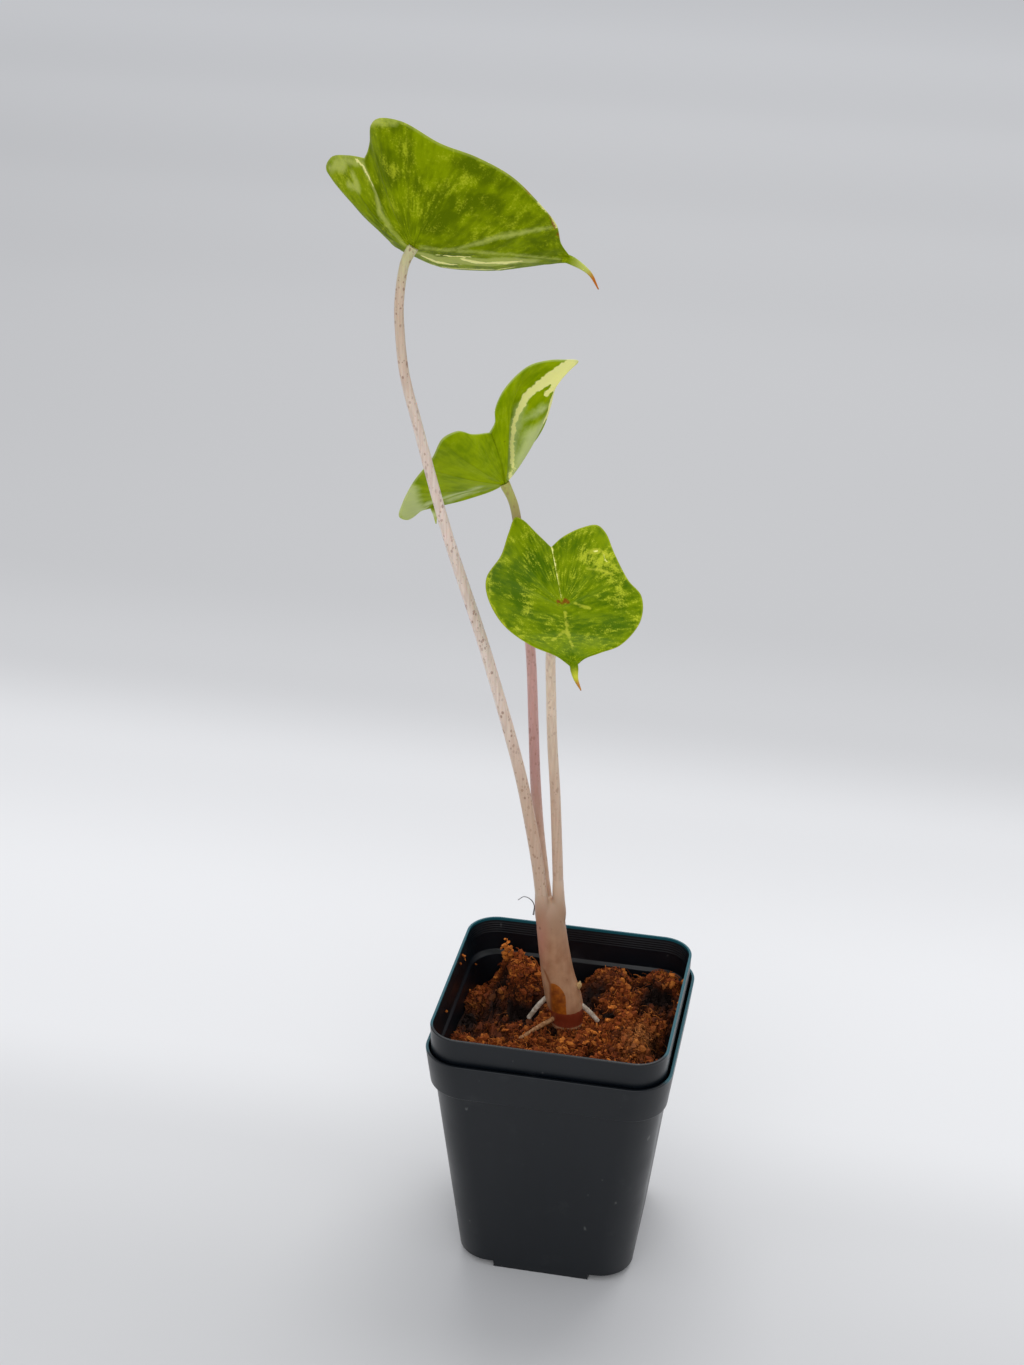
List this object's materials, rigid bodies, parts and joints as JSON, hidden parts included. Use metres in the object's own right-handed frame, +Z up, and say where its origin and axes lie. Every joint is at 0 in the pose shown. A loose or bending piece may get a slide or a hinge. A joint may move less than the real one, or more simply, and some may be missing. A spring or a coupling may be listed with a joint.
{
  "type": "potted stingray alocasia",
  "caption": "Young stingray alocasia with three stalked, tailed, variegated leaves, rooted in coir in two nested square nursery pots.",
  "frame": {"origin": "centre of the outer pot's foot, on the surface that the pot stands on", "axes": "+Z up, towards the leaves; the pot's sides lie along X and Y, with -Y towards the front of the picture"},
  "size_m": [0.1079, 0.0794, 0.3446],
  "materials": {
    "pot_plastic": "charcoal black moulded polypropylene, semi gloss",
    "coir": "moist loose coconut coir",
    "stem": "smooth fleshy sheath, reddish tan",
    "stalk_pale": "smooth fleshy stalk, pale beige with brown specks",
    "stalk_pink": "smooth fleshy stalk, dusty pink",
    "leaf": "leathery blade, yellow green with pale variegation",
    "root": "matte pale root",
    "fibre": "dry grey fibre"
  },
  "bodies": {
    "root": {"outer_pot": "pot_plastic", "inner_pot": "pot_plastic", "coir_soil": "coir", "stem_base": "stem", "petiole_tall": "stalk_pale", "petiole_middle": "stalk_pink", "petiole_short": "stalk_pale", "blade_tall": "leaf", "blade_middle": "leaf", "blade_short": "leaf", "root_back_left": "root", "root_front_left": "root", "root_right": "root", "bud_scale": "root", "dry_fibre": "fibre"}
  },
  "joints": []
}
